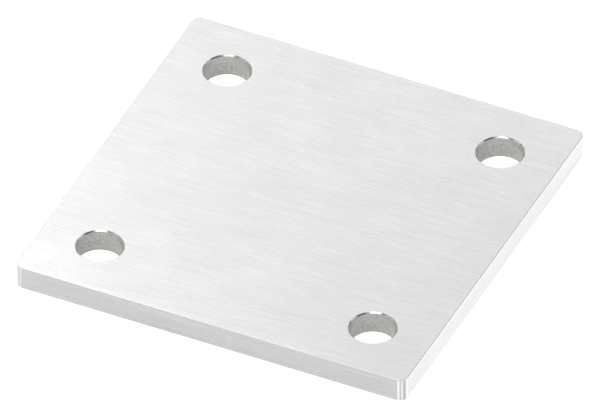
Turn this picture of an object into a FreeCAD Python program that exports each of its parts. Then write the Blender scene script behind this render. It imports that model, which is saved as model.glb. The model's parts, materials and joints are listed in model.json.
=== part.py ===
import FreeCAD, Part
import Sketcher
import math
import os

# Anchor plate: one flat square of stainless steel plate with a bolt hole near each corner.
# It is bolted down to a floor or wall, and a post, tube or bracket is welded or screwed to it.
# The corners are rounded, the bolt holes are chamfered on both faces, and the outer edges are
# only broken, as a deburring belt leaves them.
#
# The frame is in millimetres: X runs along the brushed grain, Y across it, and Z up out of
# the top face. The origin is the middle of the underside, the face that lies on the ground.

# Driving dimensions, each a name, its value and what it is
DIMENSIONS = (
    ("plate_length", 100, "outside length along X"),
    ("plate_width", 100, "outside width along Y"),
    ("plate_thickness", 6, "from the underside to the top face"),
    ("corner_radius", 2, "rounding of the four upright corners"),
    ("hole_diameter", 11, "clearance hole for an M10 anchor bolt"),
    ("hole_inset", 15, "from a hole's axis to each of the two nearest sides"),
    ("hole_chamfer", 0.3, "45 degree chamfer at both ends of a hole"),
    ("edge_break", 0.1, "45 degree break along the outer edges of both faces"),
)

SHEET = "dimensions"
HOLES_PER_ROW = 2
ROWS = 2
SAME_PLACE = 1e-6
SAME_SHARE = 1e-6


def dimension_sheet(doc):
    """The spreadsheet that every feature takes its sizes from."""
    sheet = doc.addObject("Spreadsheet::Sheet", SHEET)
    for row, (name, value, meaning) in enumerate(DIMENSIONS, start=1):
        sheet.set(f"A{row}", name)
        sheet.set(f"B{row}", str(value))
        sheet.setAlias(f"B{row}", name)
        sheet.set(f"C{row}", meaning)
    doc.recompute()
    return sheet


def sketch_on(body, plane_role, name):
    """An empty sketch on one of the body's own origin planes."""
    plane = next(item for item in body.Origin.OriginFeatures if item.Role == plane_role)
    sketch = body.newObject("Sketcher::SketchObject", name)
    sketch.AttachmentSupport = [(plane, "")]
    sketch.MapMode = "FlatFace"
    return sketch


def constrain(sketch, name, constraint, expression):
    """Adds a named size to the sketch and binds it to the sheet."""
    index = sketch.addConstraint(constraint)
    sketch.renameConstraint(index, name)
    sketch.setExpression(f"Constraints.{name}", expression)


def outline_sketch(body, sheet):
    """The plate's square outline with sharp corners, centred on the origin."""
    sketch = sketch_on(body, "XY_Plane", "plate_outline")
    half_length = sheet.plate_length / 2
    half_width = sheet.plate_width / 2
    corners = [
        FreeCAD.Vector(-half_length, -half_width, 0),
        FreeCAD.Vector(half_length, -half_width, 0),
        FreeCAD.Vector(half_length, half_width, 0),
        FreeCAD.Vector(-half_length, half_width, 0),
    ]
    count = len(corners)
    front, right, back, left = (
        sketch.addGeometry(Part.LineSegment(corners[i], corners[(i + 1) % count]))
        for i in range(count)
    )
    start, end, centre = 1, 2, (-1, 1)
    for side, following in ((front, right), (right, back), (back, left), (left, front)):
        sketch.addConstraint(Sketcher.Constraint("Coincident", side, end, following, start))
    for side in (front, back):
        sketch.addConstraint(Sketcher.Constraint("Horizontal", side))
    for side in (right, left):
        sketch.addConstraint(Sketcher.Constraint("Vertical", side))
    sketch.addConstraint(Sketcher.Constraint("Symmetric", front, start, back, start, *centre))
    constrain(
        sketch,
        "length",
        Sketcher.Constraint("DistanceX", front, start, front, end, sheet.plate_length),
        f"{SHEET}.plate_length",
    )
    constrain(
        sketch,
        "width",
        Sketcher.Constraint("DistanceY", right, start, right, end, sheet.plate_width),
        f"{SHEET}.plate_width",
    )
    return sketch


def plate_blank(body, sheet):
    """The cut blank: the outline raised to the plate's thickness, with its corners rounded."""
    blank = body.newObject("PartDesign::Pad", "plate_blank")
    blank.Profile = outline_sketch(body, sheet)
    blank.setExpression("Length", f"{SHEET}.plate_thickness")
    body.Document.recompute()

    corners = body.newObject("PartDesign::Fillet", "rounded_corners")
    corners.Base = (blank, edges_where(blank.Shape, is_upright))
    corners.setExpression("Radius", f"{SHEET}.corner_radius")
    body.Document.recompute()
    return corners


def bolt_holes(body, sheet):
    """One hole through the plate near the front left corner, repeated near the other three."""
    sketch = sketch_on(body, "XY_Plane", "hole_outline")
    axis = FreeCAD.Vector(
        sheet.hole_inset - sheet.plate_length / 2,
        sheet.hole_inset - sheet.plate_width / 2,
        0,
    )
    radius = sheet.hole_diameter / 2
    circle = sketch.addGeometry(Part.Circle(axis, FreeCAD.Vector(0, 0, 1), radius))
    origin, middle = (-1, 1), (circle, 3)
    constrain(
        sketch,
        "diameter",
        Sketcher.Constraint("Diameter", circle, sheet.hole_diameter),
        f"{SHEET}.hole_diameter",
    )
    constrain(
        sketch,
        "from_middle_x",
        Sketcher.Constraint("DistanceX", *middle, *origin, -axis.x),
        f"{SHEET}.plate_length / 2 - {SHEET}.hole_inset",
    )
    constrain(
        sketch,
        "from_middle_y",
        Sketcher.Constraint("DistanceY", *middle, *origin, -axis.y),
        f"{SHEET}.plate_width / 2 - {SHEET}.hole_inset",
    )

    hole = body.newObject("PartDesign::Pocket", "corner_hole")
    hole.Profile = sketch
    hole.Type = "ThroughAll"
    hole.Reversed = True
    body.Document.recompute()

    along_x = repeat(body, sketch, "H_Axis", HOLES_PER_ROW, "plate_length")
    along_y = repeat(body, sketch, "V_Axis", ROWS, "plate_width")
    pattern = body.newObject("PartDesign::MultiTransform", "hole_pattern")
    pattern.Originals = [hole]
    pattern.Transformations = [along_x, along_y]
    body.Tip = pattern
    body.Document.recompute()
    return pattern


def repeat(body, sketch, sketch_axis, count, plate_size):
    """Copies along an axis, the last as far from its side of the plate as the first is."""
    row = body.newObject("PartDesign::LinearPattern", f"repeat_over_{plate_size}")
    row.Direction = (sketch, [sketch_axis])
    row.Occurrences = count
    row.setExpression("Length", f"{SHEET}.{plate_size} - 2 * {SHEET}.hole_inset")
    return row


def chamfer(body, base, name, edges, size):
    """A 45 degree chamfer of one of the sheet's sizes along the given edges."""
    feature = body.newObject("PartDesign::Chamfer", name)
    feature.Base = (base, edges)
    feature.setExpression("Size", f"{SHEET}.{size}")
    body.Document.recompute()
    return feature


def edges_where(shape, test):
    """Names of the shape's edges that pass the test."""
    return [f"Edge{i}" for i, edge in enumerate(shape.Edges, start=1) if test(edge)]


def is_upright(edge):
    box = edge.BoundBox
    return box.ZLength > SAME_PLACE and box.XLength < SAME_PLACE and box.YLength < SAME_PLACE


def is_flat(edge):
    """True for an edge that lies in the top face or the underside."""
    return edge.BoundBox.ZLength < SAME_PLACE


def is_hole_rim(edge):
    """True for the full circle where a hole meets a face."""
    return is_flat(edge) and isinstance(edge.Curve, Part.Circle) and edge.isClosed()


def is_outer_edge(edge):
    """True for a straight side or a rounded corner of either face."""
    return is_flat(edge) and not edge.isClosed()


def anchor_plate(doc, sheet):
    """The whole plate, in the order in which it is made: cut, drilled, then deburred."""
    body = doc.addObject("PartDesign::Body", "anchor_plate")
    body.Label = "anchor_plate"
    blank = plate_blank(body, sheet)
    drilled = bolt_holes(body, sheet)
    check_drilled(blank, drilled, sheet)
    rims = edges_where(drilled.Shape, is_hole_rim)
    chamfered = chamfer(body, drilled, "hole_chamfers", rims, "hole_chamfer")
    outer = edges_where(chamfered.Shape, is_outer_edge)
    deburred = chamfer(body, chamfered, "broken_edges", outer, "edge_break")
    body.Tip = deburred
    doc.recompute()
    return body


def check_drilled(blank, drilled, sheet):
    """Stops if the holes took away less or more than whole cylinders through the plate."""
    one_hole = math.pi * (sheet.hole_diameter / 2) ** 2 * sheet.plate_thickness
    expected = HOLES_PER_ROW * ROWS * one_hole
    removed = blank.Shape.Volume - drilled.Shape.Volume
    if abs(removed - expected) > SAME_SHARE * expected:
        raise RuntimeError(f"the holes removed {removed:.3f} mm3, not {expected:.3f}")


def check(doc, parts):
    """Stops if any feature failed or a piece isn't a valid closed solid."""
    for item in doc.Objects:
        if "Invalid" in item.State or "Error" in item.State:
            raise RuntimeError(f"{item.Name} failed: {item.State}")
    for piece in parts:
        if piece.Shape.isNull() or not piece.Shape.isValid() or len(piece.Shape.Solids) != 1:
            raise RuntimeError(f"{piece.Label} is not one valid solid")


def main():
    doc = FreeCAD.newDocument("anchor_plate")
    sheet = dimension_sheet(doc)
    parts = [anchor_plate(doc, sheet)]
    check(doc, parts)
    os.makedirs("parts", exist_ok=True)
    for piece in parts:
        piece.Shape.exportStep(f"parts/{piece.Label}.step")
        box = piece.Shape.BoundBox
        print(
            f"{piece.Label}: {box.XLength:.2f} x {box.YLength:.2f} x {box.ZLength:.2f} mm,"
            f" {piece.Shape.Volume / 1000:.3f} cm3, {len(piece.Shape.Faces)} faces"
        )


main()
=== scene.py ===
import json
import math

import bmesh
import bpy
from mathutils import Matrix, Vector


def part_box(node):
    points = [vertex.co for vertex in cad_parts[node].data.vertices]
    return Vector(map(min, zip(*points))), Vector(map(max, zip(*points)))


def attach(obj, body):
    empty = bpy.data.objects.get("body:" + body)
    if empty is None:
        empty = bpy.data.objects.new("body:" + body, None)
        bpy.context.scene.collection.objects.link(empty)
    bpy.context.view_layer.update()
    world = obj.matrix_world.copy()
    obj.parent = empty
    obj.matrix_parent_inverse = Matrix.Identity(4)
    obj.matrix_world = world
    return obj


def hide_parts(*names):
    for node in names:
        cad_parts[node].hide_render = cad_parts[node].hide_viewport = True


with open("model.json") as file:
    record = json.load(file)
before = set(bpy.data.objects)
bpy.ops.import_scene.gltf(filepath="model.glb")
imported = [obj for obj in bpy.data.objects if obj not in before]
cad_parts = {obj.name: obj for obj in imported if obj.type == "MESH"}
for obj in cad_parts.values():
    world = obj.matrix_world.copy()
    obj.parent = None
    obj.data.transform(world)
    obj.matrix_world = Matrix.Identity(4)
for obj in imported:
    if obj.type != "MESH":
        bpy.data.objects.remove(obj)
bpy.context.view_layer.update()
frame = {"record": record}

# A square anchor plate of brushed stainless steel, lying on a pale studio floor. It is one
# piece. X runs along the brushed grain, Z is up, and the underside lies at Z = 0.

MM = 0.001

# The plate's place and its holes come from the frame.
PLATE_LOW, PLATE_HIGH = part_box("anchor_plate")
THICKNESS = PLATE_HIGH.z - PLATE_LOW.z
ANCHOR_HOLES = next(m for m in frame["record"]["mounts"] if m["name"] == "anchor_holes")
HOLE_RADIUS = ANCHOR_HOLES["dims"]["hole_r_mm"] * MM
HOLE_REACH_X = ANCHOR_HOLES["dims"]["spacing_x_mm"] / 2 * MM
HOLE_REACH_Y = ANCHOR_HOLES["dims"]["spacing_y_mm"] / 2 * MM

# The sizes that the frame doesn't give are those of the solid.
CORNER_RADIUS = 2.0 * MM
HOLE_CHAMFER = 0.3 * MM
EDGE_BREAK = 0.1 * MM

# How finely the round forms are divided
CORNER_SEGMENTS = 16
BREAK_SEGMENTS = 3
HOLE_SEGMENTS = 128

SAME_PLACE = 0.001 * MM


def direction(azimuth, elevation):
    """The unit vector from the plate towards these angles, in degrees. Azimuth 0 is the front."""
    around = math.radians(azimuth)
    up = math.radians(elevation)
    flat = math.cos(up)
    return Vector((math.sin(around) * flat, -math.cos(around) * flat, math.sin(up)))


def place_facing_plate(thing, azimuth, elevation, distance):
    """Puts a camera or lamp at these angles, this far from the plate's middle, facing it."""
    away = direction(azimuth, elevation)
    thing.location = (PLATE_LOW + PLATE_HIGH) / 2 + distance * away
    thing.rotation_euler = away.to_track_quat("Z", "Y").to_euler()


def deselect_all():
    for thing in bpy.context.selected_objects:
        thing.select_set(False)


def make_active(thing):
    deselect_all()
    thing.select_set(True)
    bpy.context.view_layer.objects.active = thing


# Camera

# It looks along parallel lines, as the photograph does.
CAMERA_AZIMUTH = 25.0
CAMERA_ELEVATION = 40.0
CAMERA_DISTANCE = 0.6
VIEW_WIDTH = 139.45 * MM


def add_camera():
    data = bpy.data.cameras.new("photo_camera")
    data.type = "ORTHO"
    data.ortho_scale = VIEW_WIDTH
    camera = bpy.data.objects.new("photo_camera", data)
    bpy.context.scene.collection.objects.link(camera)
    place_facing_plate(camera, CAMERA_AZIMUTH, CAMERA_ELEVATION, CAMERA_DISTANCE)
    bpy.context.scene.camera = camera


# Shader nodes


class Value:
    """The output of a node. Python's operators on one that is a number add Math nodes."""

    def __init__(self, shader, socket):
        self.shader = shader
        self.socket = socket

    def __add__(self, other):
        return self.shader.calculate("ADD", self, other)

    def __radd__(self, other):
        return self.shader.calculate("ADD", other, self)

    def __sub__(self, other):
        return self.shader.calculate("SUBTRACT", self, other)

    def __rsub__(self, other):
        return self.shader.calculate("SUBTRACT", other, self)

    def __mul__(self, other):
        return self.shader.calculate("MULTIPLY", self, other)

    def __rmul__(self, other):
        return self.shader.calculate("MULTIPLY", other, self)

    def __neg__(self):
        return 0 - self

    def __abs__(self):
        return self.shader.calculate("ABSOLUTE", self)

    def at_most(self, limit):
        return self.shader.calculate("MINIMUM", self, limit)

    def rise(self, first, last):
        """0 up to first, 1 from last on, and in between a straight rise."""
        inputs = {"Value": self, "From Min": first, "From Max": last}
        return self.shader.add("ShaderNodeMapRange", inputs=inputs)

    def between(self, first, last, edge):
        """1 from first to last, fading to 0 over an edge this wide at either end."""
        half = edge / 2
        return self.rise(first - half, first + half) - self.rise(last - half, last + half)


class Shader:
    """The nodes of one material, or of the world."""

    # Where a Mix node has its sockets for colours
    MIX_SHARE, MIX_FIRST, MIX_SECOND, MIXED = 0, 6, 7, 2

    def __init__(self, owner):
        owner.use_nodes = True
        self.tree = owner.node_tree
        self.tree.nodes.clear()

    def add(self, kind, settings=None, inputs=None, output=0):
        """Adds a node: its settings first, then a value or a link for each input."""
        node = self.tree.nodes.new(kind)
        for name, value in (settings or {}).items():
            setattr(node, name, value)
        for name, value in (inputs or {}).items():
            if isinstance(value, Value):
                self.tree.links.new(value.socket, node.inputs[name])
            else:
                node.inputs[name].default_value = value
        return Value(self, node.outputs[output]) if node.outputs else None

    def calculate(self, operation, *numbers):
        """A Math node on one or two numbers."""
        return self.add("ShaderNodeMath", {"operation": operation}, dict(enumerate(numbers)))

    def angle(self, across, along):
        """The direction of (along, across), in degrees."""
        return math.degrees(1) * self.calculate("ARCTAN2", across, along)

    def axes(self, vector):
        """The three coordinates of a vector, each a value of its own."""
        split = {"Vector": vector}
        return [self.add("ShaderNodeSeparateXYZ", inputs=split, output=axis) for axis in "XYZ"]

    def place(self):
        """The place on the piece, in metres."""
        return self.add("ShaderNodeTexCoord", output="Object")

    def grain(self, size, detail=2.0, shift=(0, 0, 0)):
        """Noise around 0.5 whose patches are about this long, in metres, along X, Y and Z.

        A shift, counted in patches, brings other parts of the noise to the same place.
        """
        scale = [1 / length for length in size]
        mapping = {"Vector": self.place(), "Scale": scale, "Location": shift}
        scaled = self.add("ShaderNodeMapping", inputs=mapping)
        noise = {"Vector": scaled, "Scale": 1.0, "Detail": detail}
        return self.add("ShaderNodeTexNoise", inputs=noise)

    def mix_colours(self, share, first, second):
        return self.add(
            "ShaderNodeMix",
            {"data_type": "RGBA"},
            {self.MIX_SHARE: share, self.MIX_FIRST: first, self.MIX_SECOND: second},
            output=self.MIXED,
        )


def grey(level, warmth=0.0):
    """A linear grey, with that share less blue and a quarter of it more red."""
    return (level * (1 + warmth / 4), level, level * (1 - warmth), 1.0)


WHITE = grey(1.0)


# Finishes of the plate

# Painted highlights: a paler line along the front edge of a face, and one under the top edge
# of a cut side. Each is full up to the first distance from its edge and gone by the second.
FRONT_EDGE_HIGHLIGHT = (0.30 * MM, 0.50 * MM)
TOP_EDGE_HIGHLIGHT = (0.40 * MM, 0.60 * MM)

# Painted reflections: bands round the corners at either end of X, from and to, in degrees off
# the Y axis, and how much darker they are.
RIGHT_CORNER_REFLECTIONS = ((-20, 8, 0.75), (21, 34, 0.80), (34, 46, 0.20), (46, 70, 0.92))
LEFT_CORNER_REFLECTIONS = ((-20, 7, 0.70), (7, 16, 0.38), (16, 36, 0.72), (36, 110, 0.36))
REFLECTION_BAND_EDGE = 4.0

# Painted light: a bore gets paler from the first of these heights to the second.
BORE_PAINTED_LIGHT = (2.0 * MM, 5.5 * MM)

# Painted shade: a bore is dark at its bottom, up to the first of these heights, and no longer
# from the second on.
BORE_PAINTED_SHADE = (0.4 * MM, 0.6 * MM)

# The colours of a bore are this much warmer than grey.
BORE_WARMTH = 0.042

# A chamfer has a dark fleck where its noise is below the first of these levels, and none above
# the second. The shift puts few of them where a lamp is mirrored.
FLECK_LEVELS = (0.33, 0.43)
FLECK_SHIFT = (1.7, 9.3, 0.5)


def steel(name, dark, light, shade, roughness, height, depth):
    """Bare steel between two greys by shade, with its relief this deep in metres.

    Shade, roughness and height are functions that take the shader and give a value.
    """
    material = bpy.data.materials.new(name)
    shader = Shader(material)
    relief = {"Height": height(shader), "Distance": depth}
    surface = shader.add(
        "ShaderNodeBsdfPrincipled",
        inputs={
            "Base Color": shader.mix_colours(shade(shader), dark, light),
            "Metallic": 1.0,
            "Roughness": roughness(shader),
            "Normal": shader.add("ShaderNodeBump", inputs=relief),
        },
    )
    shader.add("ShaderNodeOutputMaterial", inputs={"Surface": surface})
    return material


def at_the_right(x):
    """1 in the corners and holes at the +X end of the plate, 0 in those at the other end."""
    return x.rise(-HOLE_RADIUS, HOLE_RADIUS)


def brushed_shade(shader):
    """Fine streaks along X, short flecks, soft clouds and a painted highlight at the front edge.
    """
    streaks = shader.grain((10 * MM, 0.15 * MM, 10 * MM), detail=1.0)
    flecks = shader.grain((1.1 * MM, 0.22 * MM, 1.1 * MM), detail=0.0)
    clouds = shader.grain((11 * MM, 9 * MM, 11 * MM), detail=1.0)
    _, y, _ = shader.axes(shader.place())
    full, gone = FRONT_EDGE_HIGHLIGHT
    # Painted highlight: the face is paler along its front edge.
    front_highlight = 1 - y.rise(PLATE_LOW.y + full, PLATE_LOW.y + gone)
    return 0.62 * streaks + 0.19 * flecks + 0.19 * clouds + 0.40 * front_highlight


def brushed_face():
    """The top face and the underside, brushed along X."""
    return steel(
        "brushed_face",
        dark=grey(0.55),
        light=grey(0.93),
        shade=brushed_shade,
        roughness=lambda s: 0.26 + 0.12 * s.grain((9 * MM, 0.5 * MM, 9 * MM)),
        height=lambda s: s.grain((4 * MM, 0.15 * MM, 4 * MM), detail=3.0),
        depth=0.004 * MM,
    )


def side_shade(shader):
    """Faint marks along a side face, long ones and short ones."""
    long_marks = shader.grain((26 * MM, 26 * MM, 0.30 * MM), detail=0.0)
    short_marks = shader.grain((0.9 * MM, 0.9 * MM, 0.32 * MM), detail=0.0)
    return 0.7 * long_marks + 0.3 * short_marks


def cut_side_shade(shader):
    """The same marks, and a painted highlight under the top edge."""
    _, _, z = shader.axes(shader.place())
    full, gone = TOP_EDGE_HIGHLIGHT
    # Painted highlight: paler just under the top edge.
    return side_shade(shader) + 0.8 * z.rise(PLATE_HIGH.z - gone, PLATE_HIGH.z - full)


def side(name, dark, light, shade):
    """A satin side face between two levels of grey."""
    return steel(
        name,
        dark=grey(dark),
        light=grey(light),
        shade=shade,
        roughness=lambda s: 0.30 + 0.10 * s.grain((6 * MM, 6 * MM, 0.5 * MM)),
        height=lambda s: s.grain((5 * MM, 5 * MM, 0.2 * MM)),
        depth=0.003 * MM,
    )


def rolled_side():
    """The front and back sides, as the bar stock was rolled."""
    return side("rolled_side", dark=0.52, light=0.73, shade=side_shade)


def cut_side():
    """The left and right sides, cut across the bar; their paler greys are painted light."""
    # Paler greys than the front and back sides: painted light.
    return side("cut_side", dark=0.73, light=0.99, shade=cut_side_shade)


def painted_corner_reflections(shader):
    """1 on the bright bands of painted reflection round a corner, less on the dark ones between.
    """
    x, y, _ = shader.axes(shader.place())
    from_x = abs(x) - (PLATE_HIGH.x - CORNER_RADIUS)
    from_y = abs(y) - (PLATE_HIGH.y - CORNER_RADIUS)
    around = shader.angle(from_x, from_y)
    right = at_the_right(x)
    shade = 1.0
    for share, bands in ((right, RIGHT_CORNER_REFLECTIONS), (1 - right, LEFT_CORNER_REFLECTIONS)):
        for first, last, darkness in bands:
            shade = shade - share * darkness * around.between(first, last, REFLECTION_BAND_EDGE)
    return shade


def rounded_corner():
    """The upright round corners, ground in strokes up and down, in bands of painted reflection."""
    return steel(
        "rounded_corner",
        dark=grey(0.50),
        light=grey(0.97),
        # Painted reflections: light and dark bands round each corner.
        shade=painted_corner_reflections,
        roughness=lambda s: 0.24 + 0.08 * s.grain((0.4 * MM, 0.4 * MM, 6 * MM)),
        height=lambda s: s.grain((0.3 * MM, 0.3 * MM, 6 * MM)),
        depth=0.002 * MM,
    )


def broken_edge(name, dark, light, roughness):
    """The narrow break along the edges of both faces, from the deburring belt."""
    return steel(
        name,
        dark=grey(dark),
        light=grey(light),
        shade=lambda s: s.grain((3 * MM, 3 * MM, 3 * MM)),
        roughness=lambda s: roughness + 0.04 * s.grain((2 * MM, 2 * MM, 2 * MM)),
        height=lambda s: s.grain((2 * MM, 2 * MM, 2 * MM)),
        depth=0.002 * MM,
    )


def rolled_edge():
    """Break along rolled sides and round the corners, satin, its pale grey a painted highlight."""
    # Painted highlight: a pale grey along this break.
    return broken_edge("rolled_edge", dark=0.84, light=0.96, roughness=0.43)


def cut_edge():
    """The break along the cut sides, smoother, its dark grey a painted dark reflection."""
    # Painted reflection: a dark grey along this break.
    return broken_edge("cut_edge", dark=0.45, light=0.55, roughness=0.18)


def bore_shade(shader):
    """Drill mottling in rings and specks; painted light makes it paler at the top and to +X."""
    rings = shader.grain((6 * MM, 6 * MM, 0.3 * MM))
    specks = shader.grain((0.5 * MM, 0.5 * MM, 0.5 * MM))
    x, _, z = shader.axes(shader.place())
    hole_x = HOLE_REACH_X * (2 * at_the_right(x) - 1)
    sideways_light = (x - hole_x).rise(-HOLE_RADIUS, HOLE_RADIUS)
    # Painted light: paler towards the top and on the side to +X.
    paler = 0.17 * z.rise(*BORE_PAINTED_LIGHT) + 0.20 * sideways_light
    # Painted shade at the bottom of the bore.
    painted_bottom_shade = 1 - z.rise(*BORE_PAINTED_SHADE)
    return 0.3 * rings + 0.7 * specks + paler - 0.4 * painted_bottom_shade


def drilled_bore():
    """The walls of the bolt holes."""
    return steel(
        "drilled_bore",
        dark=grey(0.13, BORE_WARMTH),
        light=grey(0.76, BORE_WARMTH),
        shade=bore_shade,
        roughness=lambda s: 0.40 + 0.15 * s.grain((1.5 * MM, 1.5 * MM, 0.6 * MM)),
        height=lambda s: s.grain((5 * MM, 5 * MM, 0.15 * MM)),
        depth=0.004 * MM,
    )


def chamfer_shade(shader):
    """Bright, with a few small dark flecks where the countersink tore the steel."""
    return shader.grain((0.7 * MM, 0.7 * MM, 0.7 * MM), shift=FLECK_SHIFT).rise(*FLECK_LEVELS)


def cut_chamfer():
    """The chamfers of the holes, turned by a countersink that left them bright."""
    return steel(
        "cut_chamfer",
        dark=grey(0.38),
        light=grey(0.98),
        shade=chamfer_shade,
        roughness=lambda s: 0.12 + 0.08 * s.grain((1.0 * MM, 1.0 * MM, 0.3 * MM)),
        height=lambda s: s.grain((0.6 * MM, 0.6 * MM, 0.6 * MM)),
        depth=0.020 * MM,
    )


# The plate

# How far the hole cutter stands out of the faces
CUTTER_OVERSHOOT = 1.0 * MM

# The Z of a face's normal, up or down, is below the first on an upright face and above the
# second on a level one.
UPRIGHT_LIFT = 0.1
LEVEL_LIFT = 0.999


def select(piece, kind, test):
    """Selects, in edit mode, the edges or the faces that pass the test."""
    mesh = bmesh.from_edit_mesh(piece.data)
    bpy.ops.mesh.select_mode(type=kind)
    bpy.ops.mesh.select_all(action="DESELECT")
    for element in mesh.edges if kind == "EDGE" else mesh.faces:
        element.select_set(test(element))
    bmesh.update_edit_mesh(piece.data)


def climb(edge):
    """How far one end of an edge lies above the other."""
    first, second = edge.verts
    return abs(first.co.z - second.co.z)


def is_upright(edge):
    return climb(edge) > THICKNESS / 2


def is_level(edge):
    """True for an edge of the outline of the top face or the underside."""
    return climb(edge) < SAME_PLACE


def parts_finishes(edge):
    """True for an edge between faces of two finishes."""
    return len({face.material_index for face in edge.link_faces}) > 1


def cut_blank():
    """The plate without its holes: a box with round corners and broken edges."""
    deselect_all()
    bpy.ops.mesh.primitive_cube_add(
        size=1.0, location=(PLATE_LOW + PLATE_HIGH) / 2, scale=PLATE_HIGH - PLATE_LOW
    )
    plate = bpy.context.object
    plate.name = "steel_plate"
    bpy.ops.object.transform_apply(location=True, rotation=False, scale=True)
    bpy.ops.object.mode_set(mode="EDIT")
    select(plate, "EDGE", is_upright)
    bpy.ops.mesh.bevel(offset=CORNER_RADIUS, segments=CORNER_SEGMENTS, affect="EDGES")
    select(plate, "EDGE", is_level)
    bpy.ops.mesh.bevel(offset=EDGE_BREAK, segments=BREAK_SEGMENTS, affect="EDGES")
    bpy.ops.object.mode_set(mode="OBJECT")
    return plate


def hole_cutter(x, y):
    """The drill's shape: the bore, flared at both ends to cut the chamfers and clear the faces."""
    deselect_all()
    middle = PLATE_LOW.z + THICKNESS / 2
    bore = THICKNESS - 2 * HOLE_CHAMFER
    flare = HOLE_CHAMFER + CUTTER_OVERSHOOT
    wider = (HOLE_RADIUS + flare) / HOLE_RADIUS
    bpy.ops.mesh.primitive_cylinder_add(
        vertices=HOLE_SEGMENTS, radius=HOLE_RADIUS, depth=bore, location=(x, y, middle)
    )
    cutter = bpy.context.object
    bpy.ops.object.transform_apply(location=True, rotation=False, scale=False)
    bpy.ops.object.mode_set(mode="EDIT")
    for up in (1, -1):
        end = middle + up * bore / 2
        tip = end + up * flare
        select(cutter, "FACE", lambda face: abs(face.calc_center_median().z - end) < SAME_PLACE)
        bpy.ops.mesh.extrude_region_move(TRANSFORM_OT_translate={"value": (0, 0, up * flare)})
        bpy.ops.transform.resize(value=(wider, wider, 1), center_override=(x, y, tip))
    bpy.ops.mesh.select_all(action="SELECT")
    bpy.ops.mesh.normals_make_consistent(inside=False)
    bpy.ops.object.mode_set(mode="OBJECT")
    return cutter


def cut_hole(plate, x, y):
    """Takes a chamfered hole out of the plate."""
    cutter = hole_cutter(x, y)
    make_active(plate)
    cut = plate.modifiers.new("hole", "BOOLEAN")
    cut.operation = "DIFFERENCE"
    cut.solver = "EXACT"
    cut.object = cutter
    bpy.ops.object.modifier_apply(modifier=cut.name)
    bpy.data.objects.remove(cutter)


def from_hole(place):
    """How far a place is from the axis of the nearest hole."""
    aside = abs(place.x) - HOLE_REACH_X
    ahead = abs(place.y) - HOLE_REACH_Y
    return math.hypot(aside, ahead)


def finish_of(face):
    """The name of the finish that a face of the plate has."""
    lift = abs(face.normal.z)
    upright = lift < UPRIGHT_LIFT
    past_x = abs(face.center.x) > PLATE_HIGH.x - CORNER_RADIUS
    past_y = abs(face.center.y) > PLATE_HIGH.y - CORNER_RADIUS
    if lift > LEVEL_LIFT:
        return "brushed_face"
    if from_hole(face.center) < HOLE_RADIUS + HOLE_CHAMFER:
        return "drilled_bore" if upright else "cut_chamfer"
    if past_x and past_y:
        return "rounded_corner" if upright else "rolled_edge"
    if past_x:
        return "cut_side" if upright else "cut_edge"
    return "rolled_side" if upright else "rolled_edge"


def give_finishes(plate):
    """Gives every face of the plate its finish."""
    finishes = [
        brushed_face(),
        rolled_side(),
        cut_side(),
        rounded_corner(),
        rolled_edge(),
        cut_edge(),
        drilled_bore(),
        cut_chamfer(),
    ]
    for material in finishes:
        plate.data.materials.append(material)
    names = [material.name for material in finishes]
    for face in plate.data.polygons:
        face.material_index = names.index(finish_of(face))


def smooth_within_finishes(plate):
    """Shades the plate smooth, but sharp along the edges where two finishes meet."""
    make_active(plate)
    bpy.ops.object.shade_smooth()
    bpy.ops.object.mode_set(mode="EDIT")
    select(plate, "EDGE", parts_finishes)
    bpy.ops.mesh.mark_sharp()
    bpy.ops.object.mode_set(mode="OBJECT")


def add_plate():
    plate = cut_blank()
    for x in (-HOLE_REACH_X, HOLE_REACH_X):
        for y in (-HOLE_REACH_Y, HOLE_REACH_Y):
            cut_hole(plate, x, y)
    give_finishes(plate)
    smooth_within_finishes(plate)
    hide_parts("anchor_plate")
    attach(plate, "root")


# Studio

FLOOR_SIZE = 6.0
FLOOR_COLOUR = grey(0.50)

# The plate lies this far above the floor, so that its underside and the floor are two surfaces.
FLOOR_GAP = 0.05 * MM

# The floor glows for the camera, and for what the steel mirrors, which makes it white there
# without more light on the plate.
GLOW_SEEN = 0.82
GLOW_REFLECTED = 0.78

# The steel mirrors a light tent with darker panels in it. A panel is given as azimuth from and
# to, and elevation from and to, in degrees, and its level. Its edges fade over PANEL_EDGE.
TENT_LEVEL = 0.55
PANEL_EDGE = 4.0
DARK_PANELS = (
    (55, 106, 28, 56, 0.12),
    (134, 172, -2, 27, 0.30),
    (-120, -74, -2, 30, 0.40),
    (-42, -16, 36, 52, 0.32),
)

# The soft rectangular lamps, each as its azimuth and elevation in degrees, its width and height
# in metres, and its brightness, which is the radiance of its surface.
LAMP_DISTANCE = 0.7
LAMPS = (
    ("back_softbox", 195, 32, 0.30, 0.30, 0.71),
    ("left_softbox", 230, 42, 0.30, 0.30, 2.27),
    ("front_softbox", 14, 49, 0.44, 0.14, 1.0),
    ("low_softbox", 105, 10, 0.50, 0.15, 3.0),
)


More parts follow.
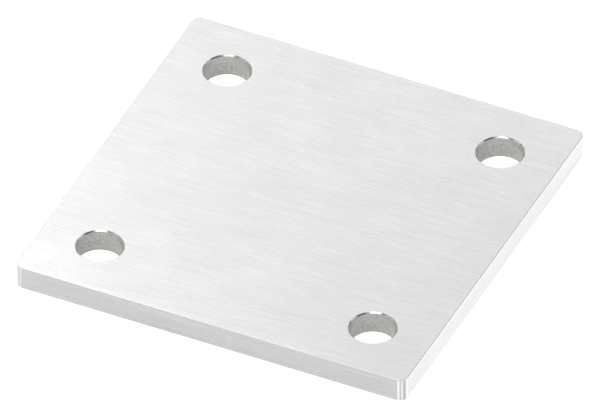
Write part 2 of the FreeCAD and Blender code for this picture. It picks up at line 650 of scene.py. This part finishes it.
def add_floor():
    deselect_all()
    bpy.ops.mesh.primitive_plane_add(size=FLOOR_SIZE, location=(0, 0, PLATE_LOW.z - FLOOR_GAP))
    floor = bpy.context.object
    floor.name = "floor"
    material = bpy.data.materials.new("pale_floor")
    shader = Shader(material)
    lit = shader.add("ShaderNodeBsdfDiffuse", inputs={"Color": FLOOR_COLOUR})
    seen = shader.add("ShaderNodeLightPath", output="Is Camera Ray")
    reflected = shader.add("ShaderNodeLightPath", output="Is Glossy Ray")
    through = shader.add("ShaderNodeLightPath", output="Is Transmission Ray")
    glow = GLOW_SEEN * seen + GLOW_REFLECTED * (reflected + through).at_most(1.0)
    glowing = shader.add("ShaderNodeEmission", inputs={"Color": WHITE, "Strength": glow})
    both = shader.add("ShaderNodeAddShader", inputs={0: lit, 1: glowing})
    shader.add("ShaderNodeOutputMaterial", inputs={"Surface": both})
    floor.data.materials.append(material)


def add_world():
    """The tent and its panels, and plain white for the camera."""
    world = bpy.data.worlds.new("studio")
    bpy.context.scene.world = world
    shader = Shader(world)
    seen = shader.add("ShaderNodeLightPath", output="Is Camera Ray")
    x, y, z = shader.axes(shader.add("ShaderNodeTexCoord", output="Generated"))
    azimuth = shader.angle(x, -y)
    elevation = math.degrees(1) * shader.calculate("ARCSINE", z)
    tent = TENT_LEVEL
    for left, right, low, high, level in DARK_PANELS:
        across = azimuth.between(left, right, PANEL_EDGE)
        panel = across * elevation.between(low, high, PANEL_EDGE)
        tent = tent + (level - TENT_LEVEL) * panel
    strength = tent * (1.0 - seen) + seen
    light = shader.add("ShaderNodeBackground", inputs={"Color": WHITE, "Strength": strength})
    shader.add("ShaderNodeOutputWorld", inputs={"Surface": light})


def add_lamps():
    for name, azimuth, elevation, width, height, brightness in LAMPS:
        data = bpy.data.lights.new(name, "AREA")
        data.shape = "RECTANGLE"
        data.size = width
        data.size_y = height
        data.energy = math.pi * width * height * brightness
        lamp = bpy.data.objects.new(name, data)
        lamp.visible_camera = False
        bpy.context.scene.collection.objects.link(lamp)
        place_facing_plate(lamp, azimuth, elevation, LAMP_DISTANCE)


add_camera()
add_plate()
add_floor()
add_world()
add_lamps()
bpy.context.scene.view_settings.view_transform = "Standard"
